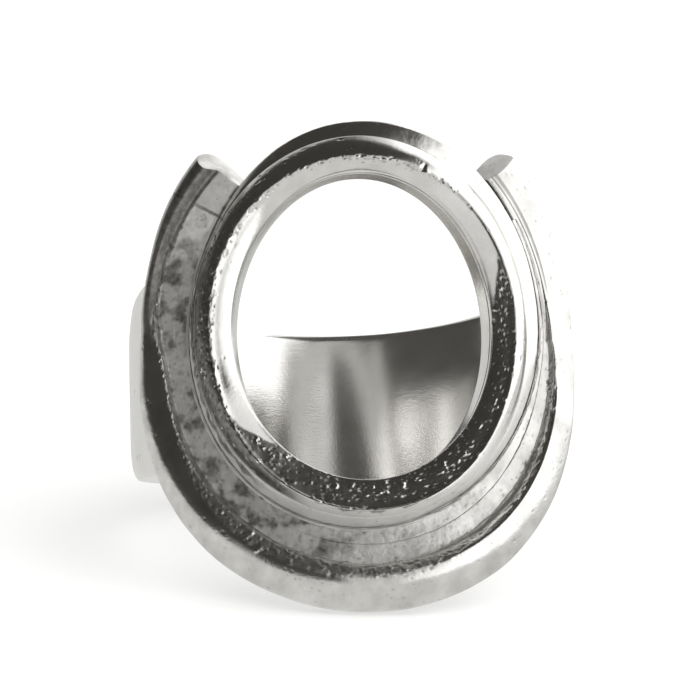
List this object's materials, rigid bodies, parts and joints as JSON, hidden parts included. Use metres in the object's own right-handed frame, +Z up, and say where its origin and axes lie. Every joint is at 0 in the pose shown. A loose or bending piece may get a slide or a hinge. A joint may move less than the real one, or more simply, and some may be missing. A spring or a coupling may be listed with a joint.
{
  "type": "finger ring",
  "caption": "Cast silver finger ring: an open oval hoop set in a concave crescent collar with upturned tips, soldered to a plain wide band open behind the hoop.",
  "frame": {"origin": "on the ground, under the middle of the ring as it stands on the bottom of the crescent and on the lower back edge of the band", "axes": "+Z up, the decorated front faces -Y, +X to the right seen from the front; the finger axis lies in the YZ plane and leans back 26.85 degrees from +Z"},
  "size_m": [0.0216, 0.027, 0.0219],
  "materials": {
    "oval_hoop": "satin",
    "hoop_plate": "gloss",
    "crescent_floor": "matte",
    "crescent_rim": "satin",
    "left_tip": "satin",
    "right_tip": "satin",
    "hoop_solder": "matte",
    "left_tip_solder": "matte",
    "right_tip_solder": "matte",
    "left_band_solder": "matte",
    "right_band_solder": "matte",
    "shank_band": "polished"
  },
  "bodies": {
    "root": {"oval_hoop": "oval_hoop", "hoop_plate": "hoop_plate", "crescent_floor": "crescent_floor", "crescent_rim": "crescent_rim", "left_tip": "left_tip", "right_tip": "right_tip", "hoop_solder": "hoop_solder", "left_tip_solder": "left_tip_solder", "right_tip_solder": "right_tip_solder", "left_band_solder": "left_band_solder", "right_band_solder": "right_band_solder", "shank_band": "shank_band"}
  },
  "joints": []
}
